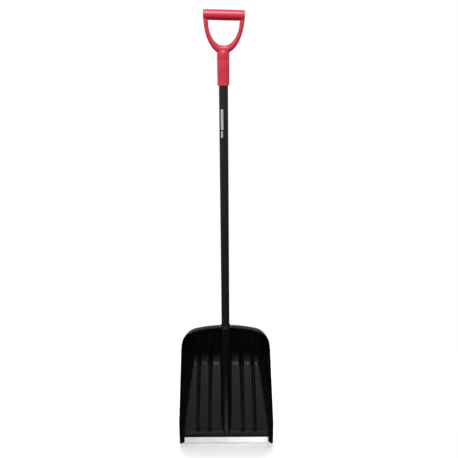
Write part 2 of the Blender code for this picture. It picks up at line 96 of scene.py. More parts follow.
class World:
    """A node tree for the room, with shorthand for its nodes."""

    def __init__(self):
        world = bpy.data.worlds.new("studio")
        scene.world = world
        world.use_nodes = True
        self.nodes, self.links = world.node_tree.nodes, world.node_tree.links
        self.nodes.clear()
        coords = self.nodes.new("ShaderNodeTexCoord")
        self.direction = coords.outputs["Generated"]
        split = self.nodes.new("ShaderNodeSeparateXYZ")
        self.links.new(self.direction, split.inputs[0])
        self.side, self.up = split.outputs["X"], split.outputs["Z"]
        self.sideways = self.math("ABSOLUTE", self.side, 0.0)

    def math(self, operation, *values):
        node = self.nodes.new("ShaderNodeMath")
        node.operation = operation
        for socket, value in zip(node.inputs, values):
            if isinstance(value, (int, float)):
                socket.default_value = value
            else:
                self.links.new(value, socket)
        return node.outputs[0]

    def ranged(self, value, low, high, to_low, to_high):
        node = self.nodes.new("ShaderNodeMapRange")
        for name, number in (("From Min", low), ("From Max", high), ("To Min", to_low), ("To Max", to_high)):
            node.inputs[name].default_value = number
        self.links.new(value, node.inputs["Value"])
        return node.outputs[0]

    def noise(self, scale):
        node = self.nodes.new("ShaderNodeTexNoise")
        node.inputs["Scale"].default_value = scale
        node.inputs["Detail"].default_value = 1.0
        self.links.new(self.direction, node.inputs["Vector"])
        return node.outputs["Fac"]

    def by_elevation(self, table):
        """Half the level that the table gives for the direction's elevation."""
        tone = self.nodes.new("ShaderNodeValToRGB")
        elements = tone.color_ramp.elements
        for index, (degrees, level) in enumerate(table):
            place = (math.sin(math.radians(degrees)) + 1.0) / 2
            stop = elements[index] if index < 2 else elements.new(place)
            stop.position = place
            stop.color = (level / 2, level / 2, level / 2, 1.0)
        self.links.new(self.ranged(self.up, -1.0, 1.0, 0.0, 1.0), tone.inputs[0])
        return tone.outputs[0]

    def background(self, color, strength):
        node = self.nodes.new("ShaderNodeBackground")
        for socket, value in ((node.inputs["Color"], color), (node.inputs["Strength"], strength)):
            if isinstance(value, (float, tuple)):
                socket.default_value = value
            else:
                self.links.new(value, socket)
        return node.outputs[0]

    def add(self, a, b):
        node = self.nodes.new("ShaderNodeAddShader")
        self.links.new(a, node.inputs[0])
        self.links.new(b, node.inputs[1])
        return node.outputs[0]


def make_world():
    """An uneven room for reflections and soft light, and a plain backdrop for the camera."""
    world = World()
    uneven = world.ranged(world.noise(ROOM_GRAIN), 0.3, 0.7, *ROOM_UNEVEN)
    leaning = world.math("MULTIPLY", uneven, world.ranged(world.side, -1.0, 1.0, *ROOM_LEAN))
    room = world.background(world.by_elevation(ROOM), leaning)
    fan = world.ranged(world.sideways, *AHEAD_SPREAD, 2.0, 0.0)
    ahead = world.background(world.by_elevation(AHEAD), fan)
    low, high = (math.sin(math.radians(degrees)) for degrees in LAMPS)
    band = world.math("COMPARE", world.up, (low + high) / 2, (high - low) / 2)
    near = world.math("LESS_THAN", world.sideways, LAMP_SPREAD)
    lean = world.ranged(world.side, -LAMP_SPREAD, LAMP_SPREAD, *LAMP_LEAN)
    near = world.math("MULTIPLY", near, lean)
    spots = world.ranged(world.noise(LAMP_GRAIN), *LAMP_GAPS, *LAMP_LEVELS)
    lamps = world.math("MULTIPLY", world.math("MULTIPLY", band, near), spots)
    row = world.background(LAMP_COLOR, lamps)
    plain = world.background((BACKDROP, BACKDROP, BACKDROP, 1.0), 1.0)
    path = world.nodes.new("ShaderNodeLightPath")
    mix = world.nodes.new("ShaderNodeMixShader")
    world.links.new(path.outputs["Is Camera Ray"], mix.inputs[0])
    world.links.new(world.add(world.add(room, ahead), row), mix.inputs[1])
    world.links.new(plain, mix.inputs[2])
    out = world.nodes.new("ShaderNodeOutputWorld")
    world.links.new(mix.outputs[0], out.inputs["Surface"])


def make_floor():
    """A pale floor that takes the shovel's soft shadow and fades into the backdrop further out."""
    mesh = bpy.data.meshes.new("floor")
    corners = ((-1, -1), (1, -1), (1, 1), (-1, 1))
    mesh.from_pydata([(FLOOR_SIDE * x, FLOOR_SIDE * y, 0) for x, y in corners], [], [(0, 1, 2, 3)])
    floor = bpy.data.objects.new("floor", mesh)
    scene.collection.objects.link(floor)
    mat = bpy.data.materials.new("pale_floor")
    mat.use_nodes = True
    nodes, links = mat.node_tree.nodes, mat.node_tree.links
    shader = nodes["Principled BSDF"]
    shader.inputs["Base Color"].default_value = (FLOOR_TONE, FLOOR_TONE, FLOOR_TONE, 1.0)
    shader.inputs["Roughness"].default_value = 1.0
    shader.inputs["Specular IOR Level"].default_value = 0.0
    shader.inputs["Emission Color"].default_value = (1.0, 1.0, 1.0, 1.0)
    shader.inputs["Emission Strength"].default_value = FLOOR_GLOW
    coords = nodes.new("ShaderNodeTexCoord")
    reach = nodes.new("ShaderNodeVectorMath")
    reach.operation = "LENGTH"
    links.new(coords.outputs["Object"], reach.inputs[0])
    fade = nodes.new("ShaderNodeMapRange")
    fade.interpolation_type = "SMOOTHSTEP"
    fade.inputs["From Min"].default_value, fade.inputs["From Max"].default_value = FLOOR_FADE
    links.new(reach.outputs["Value"], fade.inputs["Value"])
    plain = nodes.new("ShaderNodeEmission")
    plain.inputs["Color"].default_value = (BACKDROP, BACKDROP, BACKDROP, 1.0)
    mix = nodes.new("ShaderNodeMixShader")
    links.new(fade.outputs[0], mix.inputs[0])
    links.new(shader.outputs[0], mix.inputs[1])
    links.new(plain.outputs[0], mix.inputs[2])
    links.new(mix.outputs[0], nodes["Material Output"].inputs["Surface"])
    floor.data.materials.append(mat)
    floor.visible_diffuse = False
    floor.visible_glossy = False
    return floor


def area_light(name, location, target, size, power):
    data = bpy.data.lights.new(name, "AREA")
    data.shape = "RECTANGLE"
    data.size = size
    data.size_y = size
    data.energy = power
    lamp = bpy.data.objects.new(name, data)
    scene.collection.objects.link(lamp)
    lamp.location = location
    direction = Vector(target) - Vector(location)
    lamp.rotation_mode = "QUATERNION"
    lamp.rotation_quaternion = direction.to_track_quat("-Z", "Y")
    return lamp


def only(lamp, ob, state):
    """Lets a lamp light nothing but this object (INCLUDE), or everything but it (EXCLUDE)."""
    lamp.visible_camera = False
    receivers = bpy.data.collections.new(lamp.name + "_receivers")
    receivers.objects.link(ob)
    receivers.collection_objects[0].light_linking.link_state = state
    lamp.light_linking.receiver_collection = receivers


make_camera()
make_world()
floor = make_floor()
only(area_light("key", *KEY), floor, "EXCLUDE")
only(area_light("floor_light", *FLOOR_LIGHT), floor, "INCLUDE")
only(area_light("low_card", *LOW_CARD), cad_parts["wear_edge"], "INCLUDE")


# ---------------------------------------------------------------- materials
class Look:
    """A Principled material with shorthand for its procedural nodes."""

    def __init__(self, name, color, roughness, metallic=0.0):
        self.mat = bpy.data.materials.new(name)
        self.mat.use_nodes = True
        self.tree = self.mat.node_tree
        self.shader = self.tree.nodes["Principled BSDF"]
        self.shader.inputs["Base Color"].default_value = (*color, 1.0)
        self.shader.inputs["Roughness"].default_value = roughness
        self.shader.inputs["Metallic"].default_value = metallic
        self.coords = self.node("ShaderNodeTexCoord").outputs["Object"]
        self.height = None

    def node(self, kind):
        return self.tree.nodes.new(kind)

    def link(self, a, b):
        self.tree.links.new(a, b)

    def stretched(self, scale):
        """Object coordinates, scaled along each axis."""
        mapping = self.node("ShaderNodeMapping")
        mapping.inputs["Scale"].default_value = scale
        self.link(self.coords, mapping.inputs["Vector"])
        return mapping.outputs[0]

    def noise(self, scale, detail=3.0, stretch=(1.0, 1.0, 1.0), rough=0.5):
        texture = self.node("ShaderNodeTexNoise")
        texture.inputs["Scale"].default_value = scale
        texture.inputs["Detail"].default_value = detail
        texture.inputs["Roughness"].default_value = rough
        self.link(self.stretched(stretch), texture.inputs["Vector"])
        return texture.outputs["Fac"]

    def ranged(self, value, low, high, to_low, to_high):
        node = self.node("ShaderNodeMapRange")
        for name, number in (("From Min", low), ("From Max", high), ("To Min", to_low), ("To Max", to_high)):
            node.inputs[name].default_value = number
        self.link(value, node.inputs["Value"])
        return node.outputs[0]

    def math(self, operation, a, b):
        node = self.node("ShaderNodeMath")
        node.operation = operation
        for socket, value in zip(node.inputs, (a, b)):
            if isinstance(value, (int, float)):
                socket.default_value = value
            else:
                self.link(value, socket)
        return node.outputs[0]

    def rough(self, value):
        self.link(value, self.shader.inputs["Roughness"])

    def tint(self, factor, first, second):
        node = self.node("ShaderNodeMix")
        node.data_type = "RGBA"
        self.link(factor, node.inputs["Factor"])
        node.inputs["A"].default_value = (*first, 1.0)
        node.inputs["B"].default_value = (*second, 1.0)
        return node.outputs["Result"]

    def color(self, output):
        self.link(output, self.shader.inputs["Base Color"])

    def bump(self, value, distance, strength=1.0):
        """Adds one more layer of relief; distance is in metres."""
        node = self.node("ShaderNodeBump")
        node.inputs["Distance"].default_value = distance
        node.inputs["Strength"].default_value = strength
        self.link(value, node.inputs["Height"])
        if self.height is not None:
            self.link(self.height, node.inputs["Normal"])
        self.height = node.outputs[0]
        self.link(self.height, self.shader.inputs["Normal"])

    def scratches(self, scale, stretch, threshold):
        """Thin bright lines where a stretched noise crosses a narrow band."""
        line = self.noise(scale, 2.0, stretch, 0.4)
        away = self.math("ABSOLUTE", self.math("SUBTRACT", line, 0.5), 0.0)
        return self.ranged(away, 0.0, threshold, 1.0, 0.0)


def moulded_black():
    look = Look("moulded_black", (0.0025, 0.0025, 0.0026), 0.13)
    grain = look.noise(1400.0, 2.0)
    waves = look.noise(14.0, 3.0)
    patches = look.noise(38.0, 4.0, rough=0.6)
    scuffs = look.scratches(26.0, (3.0, 3.0, 0.35), 0.006)
    wear = look.ranged(patches, 0.35, 0.75, 0.10, 0.17)
    look.rough(look.math("ADD", wear, look.math("MULTIPLY", scuffs, 0.08)))
    look.color(look.tint(patches, (0.0021, 0.0021, 0.0022), (0.0032, 0.0031, 0.0031)))
    look.bump(waves, 0.0006, 0.25)
    look.bump(grain, 0.000006, 0.5)
    look.bump(scuffs, -0.00002, 0.3)
    return look.mat


def powder_coat():
    look = Look("black_powder_coat", (0.006, 0.0055, 0.005), 0.42)
    orange_peel = look.noise(420.0, 3.0)
    rubs = look.noise(9.0, 4.0, (6.0, 6.0, 1.0), 0.6)
    look.rough(look.ranged(rubs, 0.3, 0.7, 0.27, 0.36))
    look.color(look.tint(rubs, (0.0042, 0.0038, 0.0034), (0.0060, 0.0055, 0.0048)))
    look.bump(orange_peel, 0.00002, 0.5)
    return look.mat


def moulded_red():
    look = Look("moulded_red", (0.62, 0.027, 0.055), 0.36)
    grain = look.noise(1100.0, 2.0)
    patches = look.noise(30.0, 4.0, rough=0.6)
    look.rough(look.ranged(patches, 0.3, 0.7, 0.31, 0.42))
    look.color(look.tint(patches, (0.58, 0.024, 0.049), (0.66, 0.030, 0.060)))
    look.bump(grain, 0.00001, 0.45)
    return look.mat


def brushed(name, color, roughness, metallic, stretch):
    look = Look(name, color, roughness, metallic)
    lines = look.noise(260.0, 3.0, stretch, 0.6)
    stains = look.noise(24.0, 4.0, rough=0.6)
    fine = look.ranged(lines, 0.3, 0.7, -0.05, 0.06)
    look.rough(look.math("ADD", fine, look.ranged(stains, 0.3, 0.7, roughness - 0.05, roughness + 0.07)))
    dull = [0.9 * c for c in color]
    look.color(look.tint(stains, dull, color))
    look.bump(lines, 0.00002, 0.35)
    return look.mat


def pale_print():
    look = Look("pale_print", (0.62, 0.58, 0.57), 0.5)
    wear = look.noise(300.0, 4.0, rough=0.65)
    look.rough(look.ranged(wear, 0.3, 0.7, 0.42, 0.58))
    look.color(look.tint(wear, (0.46, 0.43, 0.42), (0.74, 0.70, 0.69)))
    return look.mat


BLACK = moulded_black()
COAT = powder_coat()
RED = moulded_red()
ALU = brushed("mill_aluminium", (0.93, 0.93, 0.94), 0.42, 0.6, (0.05, 1.0, 1.0))
INK = pale_print()
ZINC = brushed("zinc_plate", (0.62, 0.63, 0.65), 0.35, 1.0, (1.0, 1.0, 1.0))


# ---------------------------------------------------------------- helpers for the finely modelled pieces
def show(ob, mat, material_slot, *nodes, sharp=35.0):
    """Finishes a piece: places it on the shaft's axis, gives it its material, smooths it and hides the CAD
    nodes it stands in for.
    """
    ob.matrix_world = FRAME
    ob.data.materials.clear()
    ob.data.materials.append(mat)
    ob.data.shade_smooth()
    ob.data.set_sharp_from_angle(angle=math.radians(sharp))
    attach(ob, "root")
    if nodes:
        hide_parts(*nodes)


def object_from_bmesh(name, bm):
    bmesh.ops.recalc_face_normals(bm, faces=bm.faces)
    mesh = bpy.data.meshes.new(name)
    bm.to_mesh(mesh)
    bm.free()
    ob = bpy.data.objects.new(name, mesh)
    scene.collection.objects.link(ob)
    return ob


def applied(ob):
    """The object with its modifiers worked into its mesh."""
    bpy.context.view_layer.update()
    depsgraph = bpy.context.evaluated_depsgraph_get()
    mesh = bpy.data.meshes.new_from_object(ob.evaluated_get(depsgraph))
    ob.modifiers.clear()
    ob.data = mesh
    return ob


def joined(name, objects):
    bm = bmesh.new()
    for ob in objects:
        bm.from_mesh(ob.data)
        bpy.data.objects.remove(ob, do_unlink=True)
    return object_from_bmesh(name, bm)


def bevel(ob, width, segments=2, angle=50.0):
    mod = ob.modifiers.new("soft_edges", "BEVEL")
    mod.width = width * MM
    mod.segments = segments
    mod.limit_method = "ANGLE"
    mod.angle_limit = math.radians(angle)
    return ob


def turned(name, profile, sides=96, place=None):
    """Turns a closed or open (radius, height) profile about +Z, in millimetres."""
    bm = bmesh.new()
    rings = []
    for radius, height in profile:
        if radius == 0.0:
            rings.append([bm.verts.new((0.0, 0.0, height * MM))] * sides)
        else:
            rings.append([bm.verts.new((radius * MM * math.cos(2 * math.pi * k / sides),
                                        radius * MM * math.sin(2 * math.pi * k / sides), height * MM))
                          for k in range(sides)])
    for low, high in zip(rings, rings[1:]):
        for k in range(sides):
            loop = []
            for vert in (low[k], low[(k + 1) % sides], high[(k + 1) % sides], high[k]):
                if vert not in loop:
                    loop.append(vert)
            if len(loop) > 2:
                bm.faces.new(loop)
    if place is not None:
        bmesh.ops.transform(bm, matrix=place, verts=bm.verts)
    return object_from_bmesh(name, bm)


def prism(name, outline, half, width=0.6):
    """Extrudes a (y, z) outline, in millimetres, to both sides of the middle plane, with softened edges."""
    bm = bmesh.new()
    left = [bm.verts.new((-half * MM, y * MM, z * MM)) for y, z in outline]
    right = [bm.verts.new((half * MM, y * MM, z * MM)) for y, z in outline]
    bm.faces.new(left)
    bm.faces.new(list(reversed(right)))
    count = len(outline)
    for i in range(count):
        bm.faces.new((left[i], left[(i + 1) % count], right[(i + 1) % count], right[i]))
    return applied(bevel(object_from_bmesh(name, bm), width))


def smooth_step(value, low, high):
    t = min(max((value - low) / (high - low), 0.0), 1.0)
    return t * t * (3.0 - 2.0 * t)


def from_table(table, value):
    """Reads a value off a table of (position, value) pairs, in straight lines between them."""
    if value <= table[0][0]:
        return table[0][1]
    for (x0, y0), (x1, y1) in zip(table, table[1:]):
        if value <= x1:
            t = (value - x0) / (x1 - x0)
            return y0 + (y1 - y0) * t
    return table[-1][1]


# ---------------------------------------------------------------- the scoop, in millimetres
# Heights are above the floor, x and y are from the shaft's axis, and -y is the load side.
SKIN, SKIN_EDGE = 3.0, 0.9
LIFT = math.radians(15.0)               # how far the pan leans back
RIDGE_R = 18.5
TIP_Z = 31.0                            # where the ridge runs out into the pan
PAN_END_Z = 38.0
BEAD_Z, BEAD_RISE = 49.0, 0.7           # a faint swelling of the pan above its lip
BEND_Z, BEND_R = 294.0, 8.0
# (y, z) corners of the back wall, hood and rim in the middle plane, and the radii that round them
WALL, WALL_R = (49.2, 334.0), 370.0
HOOD, HOOD_R = (6.0, 494.0), 20.0
RIM = (-18.0, 492.0)
CROWN = 11.5                            # how much lower the rim is where the upper corners start
# the upper corners: where they start across and down, how far they may reach, and how full their curve is
CORNER_X, CORNER_Z = 94.0, 407.0
CORNER_REACH, CORNER_BULGE, HOOD_BULGE = 58.0, 0.56, 0.78
HOOD_START, HOOD_SHARE, TURN_SHARE = 0.4, 0.97, 0.5
FOOT_TURN, LIP_TURN, LIP_TURN_Z = 8.0, 1.2, (34.0, 46.0)
SIDE_FLARE = math.tan(math.radians(23.2))
SIDE_RIM_Y, SIDE_RIM_LEAN = -46.0, 0.0526
WIDE_HALF, WIDE_Z, SIDE_TAPER = 169.0, 106.0, 0.0585
RIB_X = (57.5, 98.5)
RIB_HALF, RIB_RISE, RIB_ROUND = 6.4, 6.0, 0.16
RIB_TIP_Z, RIB_FULL_Z, RIB_FADE_Z, RIB_END_Z = 46.0, 62.0, 330.0, 486.0
LIP_STEP, LIP_R = 3.9, 14.0
LIP_HEIGHTS = (4.2, 5.0, 6.0, 7.0, 8.0, 9.5, 11.0, 13.0, 15.5, 18.0, 20.0, 22.0, 24.0, 26.0)
HORN_Z, HORN_END_Z, HORN_LEAST = 22.0, 7.0, 0.12
# the ridge's half width above its tip, and how far its crest stands proud of the pan's plane
NOSE = ((27.0, 0.3), (30.0, 2.4), (33.0, 4.2), (37.0, 6.4), (44.0, 9.8), (52.0, 13.0), (60.0, 15.8),
        (67.0, 17.4), (76.0, 18.3), (86.0, RIDGE_R))
CREST = ((27.0, -2.6), (30.0, -0.6), (33.0, 1.0), (38.0, 2.2), (44.0, 3.8), (50.0, 5.3), (57.0, 7.1),
         (64.0, 8.9), (72.0, 10.98))
KEEL, KEEL_Z = 0.9, (46.0, 72.0)        # extra sharpness of the crest near the tip, and where it fades
FLANK_DRAFT = 0.4
FILLET_LEAST, FILLET_GROWTH, FILLET_Z = 0.25, 3.0, (70.0, 130.0)
RIDGE_TOP_Z = 484.0
# how closely the surface is stepped along the spine, up to two heights and above them, and across
FINE, MEDIUM, COARSE = 1.6, 3.0, 6.0
FINE_END_Z, MEDIUM_END_Z = 70.0, 110.0
ARC_STEPS, FLANK_STEPS, FILLET_STEPS, RIB_STEPS, TURN_STEPS, SIDE_STEPS = 12, 5, 4, 14, 9, 7
GAP_STEPS, MARGIN_STEPS = 4, 5
RIDGE_COLUMNS = ARC_STEPS + FLANK_STEPS + FILLET_STEPS


def pan_y(z):
    return -RIDGE_R + (z - TIP_Z) * math.tan(LIFT)


def half_width(z):
    return WIDE_HALF - SIDE_TAPER * max(min(z, CORNER_Z) - WIDE_Z, 0.0)


def side_rim_y(z):
    return SIDE_RIM_Y + SIDE_RIM_LEAN * min(z, CORNER_Z)


def rounded(before, corner, after, radius, count):
    """Points on the arc that rounds a corner between two straight runs."""
    before, corner, after = Vector(before), Vector(corner), Vector(after)
    a, b = (before - corner).normalized(), (after - corner).normalized()
    half_turn = (math.pi - a.angle(b)) / 2
    reach = radius * math.tan(half_turn)
    centre = corner + (a + b).normalized() * (radius / math.cos(half_turn))
    start = (corner + a * reach - centre).normalized()
    end = (corner + b * reach - centre).normalized()
    return [tuple(centre + start.slerp(end, i / count) * radius) for i in range(count + 1)]


def evenly(start, end, pitch):
    """Points between two (y, z) stations, without the first, no further apart than the pitch."""
    count = max(int(math.ceil(math.dist(start, end) / pitch)), 1)
    return [tuple(Vector(start).lerp(Vector(end), i / count)) for i in range(1, count + 1)]


def spine():
    """(y, z) stations up the middle plane: lip, step, bead, pan, bend, back wall, hood and rim."""
    step = LIP_STEP / math.cos(LIFT)
    stations = [(pan_y(z) + step, z) for z in LIP_HEIGHTS]
    lip_top = stations[-1]
    pan_end = (pan_y(PAN_END_Z) - BEAD_RISE, PAN_END_Z)
    bead = (pan_y(BEAD_Z), BEAD_Z)
    fine_end = (pan_y(FINE_END_Z), FINE_END_Z)
    medium_end = (pan_y(MEDIUM_END_Z), MEDIUM_END_Z)
    bend = (pan_y(BEND_Z), BEND_Z)
    edge = rounded(lip_top, pan_end, bead, LIP_R, 5)
    stations += evenly(lip_top, edge[0], 2.5)[:-1] + edge
    stations += evenly(edge[-1], bead, FINE) + evenly(bead, fine_end, FINE)
    stations += evenly(fine_end, medium_end, MEDIUM)
    turn = rounded(bead, bend, WALL, BEND_R, 8)
    stations += evenly(medium_end, turn[0], COARSE)[:-1] + turn
    lean = rounded(bend, WALL, HOOD, WALL_R, 14)
    stations += evenly(turn[-1], lean[0], MEDIUM)[:-1] + lean
    hood = rounded(WALL, HOOD, RIM, HOOD_R, 14)
    stations += evenly(lean[-1], hood[0], COARSE)[:-1] + hood
    return stations + evenly(hood[-1], RIM, 2.0)


def rib_growth(z):
    """How far the ribs have grown from their tips, and how much of their height is left, from 0 to 1."""
    grow = min(max((z - RIB_TIP_Z) / (RIB_FULL_Z - RIB_TIP_Z), 0.0), 1.0)
    return grow, 1.0 - smooth_step(z, RIB_FADE_Z, RIB_END_Z)


def ridge_points(y, z):
    """Half of the ridge's outline at one station, from its crest to where its fillet meets the floor."""
    if z > RIDGE_TOP_Z:
        edge = math.sqrt(max(RIDGE_R ** 2 - y ** 2, 0.25))
        return [Vector((edge * i / RIDGE_COLUMNS, y, z)) for i in range(RIDGE_COLUMNS + 1)]
    half = from_table(NOSE, z)
    base = min(y, 0.0)
    crest = base + RIDGE_R
    if z < CREST[-1][0]:
        crest = max(y - pan_y(z) + from_table(CREST, z), 0.05)
    fillet = FILLET_LEAST + FILLET_GROWTH * smooth_step(z, *FILLET_Z)
    fillet = min(fillet, max(y + RIDGE_R, 0.4) * 0.5)
    keel = 1.0 + KEEL * (1.0 - smooth_step(z, *KEEL_Z))
    points = []
    for i in range(ARC_STEPS + 1):
        angle = math.pi / 2 * i / ARC_STEPS
        points.append(Vector((half * math.sin(angle), base - crest * max(math.cos(angle), 0.0) ** keel, z)))
    foot = max(y - fillet, base)
    for i in range(1, FLANK_STEPS + 1):
        share = i / FLANK_STEPS
        points.append(Vector((half + FLANK_DRAFT * share, base + (foot - base) * share, z)))
    for i in range(1, FILLET_STEPS + 1):
        angle = math.pi / 2 * i / FILLET_STEPS
        x = half + FLANK_DRAFT + fillet * (1.0 - math.cos(angle))
        points.append(Vector((x, foot + (y - foot) * math.sin(angle), z)))
    return points


def floor_points(y, z, reach):
    """The floor from the middle out to where the corner starts, with the ridge and two ribs."""
    scale = half_width(z) / half_width(BEND_Z)
    grow, fade = rib_growth(z)
    points = ridge_points(y, z)
    last = points[-1].x
    for centre in RIB_X:
        middle = centre * scale
        half = max(RIB_HALF * grow ** 0.6, 0.25)
        rise = RIB_RISE * grow ** 0.8 * fade
        for i in range(1, GAP_STEPS):
            points.append(Vector((last + (middle - half - last) * i / GAP_STEPS, y, z)))
        for i in range(RIB_STEPS + 1):
            t = 2.0 * i / RIB_STEPS - 1.0
            lift = 1.0 - (math.hypot(t, RIB_ROUND) - RIB_ROUND) / (math.hypot(1.0, RIB_ROUND) - RIB_ROUND)
            points.append(Vector((middle + half * t, y - rise * lift, z)))
        last = middle + half
    for i in range(1, MARGIN_STEPS + 1):
        points.append(Vector((last + (reach - last) * i / MARGIN_STEPS, y, z)))
    return points


def climbs(stations):
    """How far each station has come from the bend to the rim, from 0 to 1, along the spine."""
    lengths = [0.0]
    for before, after in zip(stations, stations[1:]):
        step = math.dist(before, after) if after[1] > BEND_Z else 0.0
        lengths.append(lengths[-1] + step)
    return [length / lengths[-1] for length in lengths]


def section(y, z, up):
    """Half a cross-section of the scoop's front face, from the middle to the side wall's front edge."""
    rim_z = z if up == 0.0 else BEND_Z + (CORNER_Z - BEND_Z) * up
    corner_x = half_width(z) - (y - side_rim_y(z)) * SIDE_FLARE
    hood = max((up - HOOD_START) / (1.0 - HOOD_START), 0.0)
    turn = FOOT_TURN + (corner_x - CORNER_X - FOOT_TURN) * up ** 2
    turn = LIP_TURN + (turn - LIP_TURN) * smooth_step(z, *LIP_TURN_Z)
    reach = corner_x - min(turn, CORNER_REACH)
    drop = CROWN * up * (reach * reach + 2.0 * reach * (corner_x - reach)) / CORNER_X ** 2
    corner = Vector((corner_x, y, z - drop))
    edge = Vector((half_width(rim_z), side_rim_y(rim_z), rim_z))
    if z < HORN_Z:
        share = (HORN_Z - z) / (HORN_Z - HORN_END_Z)
        edge = corner.lerp(edge, max(math.sqrt(max(1.0 - share * share, 0.0)), HORN_LEAST))
    floor = floor_points(y, z, reach)
    for point in floor[RIDGE_COLUMNS:]:
        point.z -= CROWN * up * (point.x / CORNER_X) ** 2
    start = floor[-1]
    wall = edge - corner
    share = min((corner.x - start.x) / wall.length, TURN_SHARE)
    turn_end = corner + wall * (share + (HOOD_SHARE - share) * hood)
    bulge = CORNER_BULGE + (HOOD_BULGE - CORNER_BULGE) * hood
    inner = start.lerp(corner, bulge)
    outer = turn_end.lerp(corner, bulge)
    curve = []
    for k in range(1, TURN_STEPS + 1):
        t = k / TURN_STEPS
        curve.append((1 - t) ** 3 * start + 3 * (1 - t) ** 2 * t * inner
                     + 3 * (1 - t) * t * t * outer + t ** 3 * turn_end)
    side = [turn_end.lerp(edge, i / SIDE_STEPS) for i in range(1, SIDE_STEPS + 1)]
    return floor + curve + side


def scoop():
    """The scoop's open front face, thickened backwards into a moulded skin with soft edges."""
    bm = bmesh.new()
    rows = []
    stations = spine()
    for (y, z), up in zip(stations, climbs(stations)):
        half = section(y, z, up)
        full = [Vector((-p.x, p.y, p.z)) for p in reversed(half[1:])] + half
        rows.append([bm.verts.new(p * MM) for p in full])
    middle = len(rows[0]) // 2
    for low, high, (y, z) in zip(rows, rows[1:], stations[1:]):
        for i in range(len(low) - 1):
            if z > RIDGE_TOP_Z and middle - RIDGE_COLUMNS <= i < middle + RIDGE_COLUMNS:
                continue
            bm.faces.new((low[i], low[i + 1], high[i + 1], high[i]))
    bmesh.ops.delete(bm, geom=[vert for vert in bm.verts if not vert.link_faces], context="VERTS")
    mesh = bpy.data.meshes.new("scoop")
    bm.to_mesh(mesh)
    bm.free()
    ob = bpy.data.objects.new("scoop", mesh)
    scene.collection.objects.link(ob)
    mod = ob.modifiers.new("skin", "SOLIDIFY")
    mod.thickness = SKIN * MM
    mod.offset = -1.0
    mod.use_even_offset = False
    bevel(ob, SKIN_EDGE, 2, 60.0)
    show(applied(ob), BLACK, "black_plastic", "blade", sharp=48.0)


def behind(z, depth):
    """(y, z) of a point so deep behind the scoop's face in the middle plane."""
    if z < BEND_Z:
        return (pan_y(z) + depth, z)
    return (WALL[0] + (HOOD[0] - WALL[0]) * max(z - WALL[1], 0.0) / (HOOD[1] - WALL[1]) + depth, z)


# on the back: the spans where the shaft's channel is closed, its stop, and the screws' bosses (height, seat)
TUBE_BACK, BRIDGE_BACK, BRIDGE_HALF = 13.9, 14.5, 15.9
INSET = SKIN - 0.4                      # how deep these pieces reach into the scoop's skin
BRIDGES = ((150.0, 196.0), (292.0, 300.0), (420.0, 476.0))
STOP_Z, STOP_FRONT, STOP_HALF = (142.0, 150.0), -9.0, 15.2
BOSSES = {"lower_boss": (174.0, 28.5), "upper_boss": (452.0, 24.0)}
BOSS_PROFILE = ((2.3, 0.0), (5.6, 0.0), (6.2, -0.25), (6.5, -0.9), (6.6, -4.0), (7.6, -6.4), (9.5, -7.6))
COLLAR_PROFILE = ((13.9, 478.0), (13.9, 495.8), (14.2, 496.0), (14.9, 495.9), (15.1, 495.4), (16.0, 493.5),
                  (17.2, 491.2), (18.3, 489.0), (18.45, 487.0), (18.45, 484.0), (18.2, 478.0))
BACKWARDS = Matrix.Rotation(-math.pi / 2, 4, "X")      # turns a profile's axis to +Y


def channel_bridge(number, low, high):
    """One closed stretch of the shaft's channel, which always keeps clear of the tube."""
    corners = [behind(high, INSET), behind(low, INSET)]
    corners = [(max(y, BRIDGE_BACK), z) for y, z in corners]
    outline = [(TUBE_BACK, low), (TUBE_BACK, high)] + corners
    show(prism("channel_bridge_%d" % number, outline, BRIDGE_HALF), BLACK, "black_plastic")


def shaft_stop():
    """The web that the tube's lower end rests on."""
    low, high = STOP_Z
    outline = [(STOP_FRONT, low), (STOP_FRONT, high), behind(high, INSET), behind(low, INSET)]
    show(prism("shaft_stop", outline, STOP_HALF), BLACK, "black_plastic")


def socket_pieces():
    """The closed parts of the shaft's channel, its stop, the screws' bosses and the collar round the tube."""
    for number, (low, high) in enumerate(BRIDGES, 1):
        channel_bridge(number, low, high)
    shaft_stop()
    for name, (z, seat) in BOSSES.items():
        place = Matrix.Translation(Vector((0, seat, z)) * MM) @ BACKWARDS
        show(turned(name, BOSS_PROFILE, 64, place), BLACK, "black_plastic")
    show(turned("collar", COLLAR_PROFILE), BLACK, "black_plastic")


# ---------------------------------------------------------------- the D-grip
BAR_Z = 1482.9
BAR_HALF = 58.25
BAR_END_R, BAR_MID_R, BAR_ROUND, BAR_STEPS = 13.7, 14.3, 1.6, 24
OPENING_HALF, OPENING_DEPTH, OPENING_Z = 43.8, 62.8, 1465.0
YOKE_HALF, YOKE_DEPTH, YOKE_Z, YOKE_THICK = 58.0, 100.3, 1480.0, 11.5
YOKE_STATIONS, YOKE_SIDES, YOKE_FULLNESS = 72, 36, 0.8
LINE_Z = 1366.5
DOME_R = 17.9
SOCKET_R, SOCKET_BOTTOM, SOCKET_BORE_R = 17.1, 1293.0, 13.8
LEAN, LEAN_Z, LEAN_SPAN = math.radians(1.7), 1372.0, 34.0     # the bow sits slightly askew over its socket
VOXEL, SOFTENING = 0.9, 6
DOME_PROFILE = ((0.0, 1388.6), (13.0, 1388.4), (15.4, 1387.2), (16.9, 1384.8), (17.5, 1381.5),
                (DOME_R, 1376.0), (DOME_R, LINE_Z), (DOME_R - 1.0, LINE_Z - 0.6), (0.0, LINE_Z - 0.6))
SEAT_Z = 1330.0
SEAT_PROFILE = ((2.4, 15.0), (4.9, 16.4), (5.6, 16.7), (6.2, 16.5), (6.8, 15.8), (7.2, 14.5))
# the socket's tube: (radius past SOCKET_R, height past SOCKET_BOTTOM) of the bead round its mouth
MOUTH_BEAD = ((0.1, 5.0), (0.15, 4.0), (0.55, 2.9), (0.7, 1.9), (0.55, 0.9), (0.1, 0.2), (-0.5, 0.0))


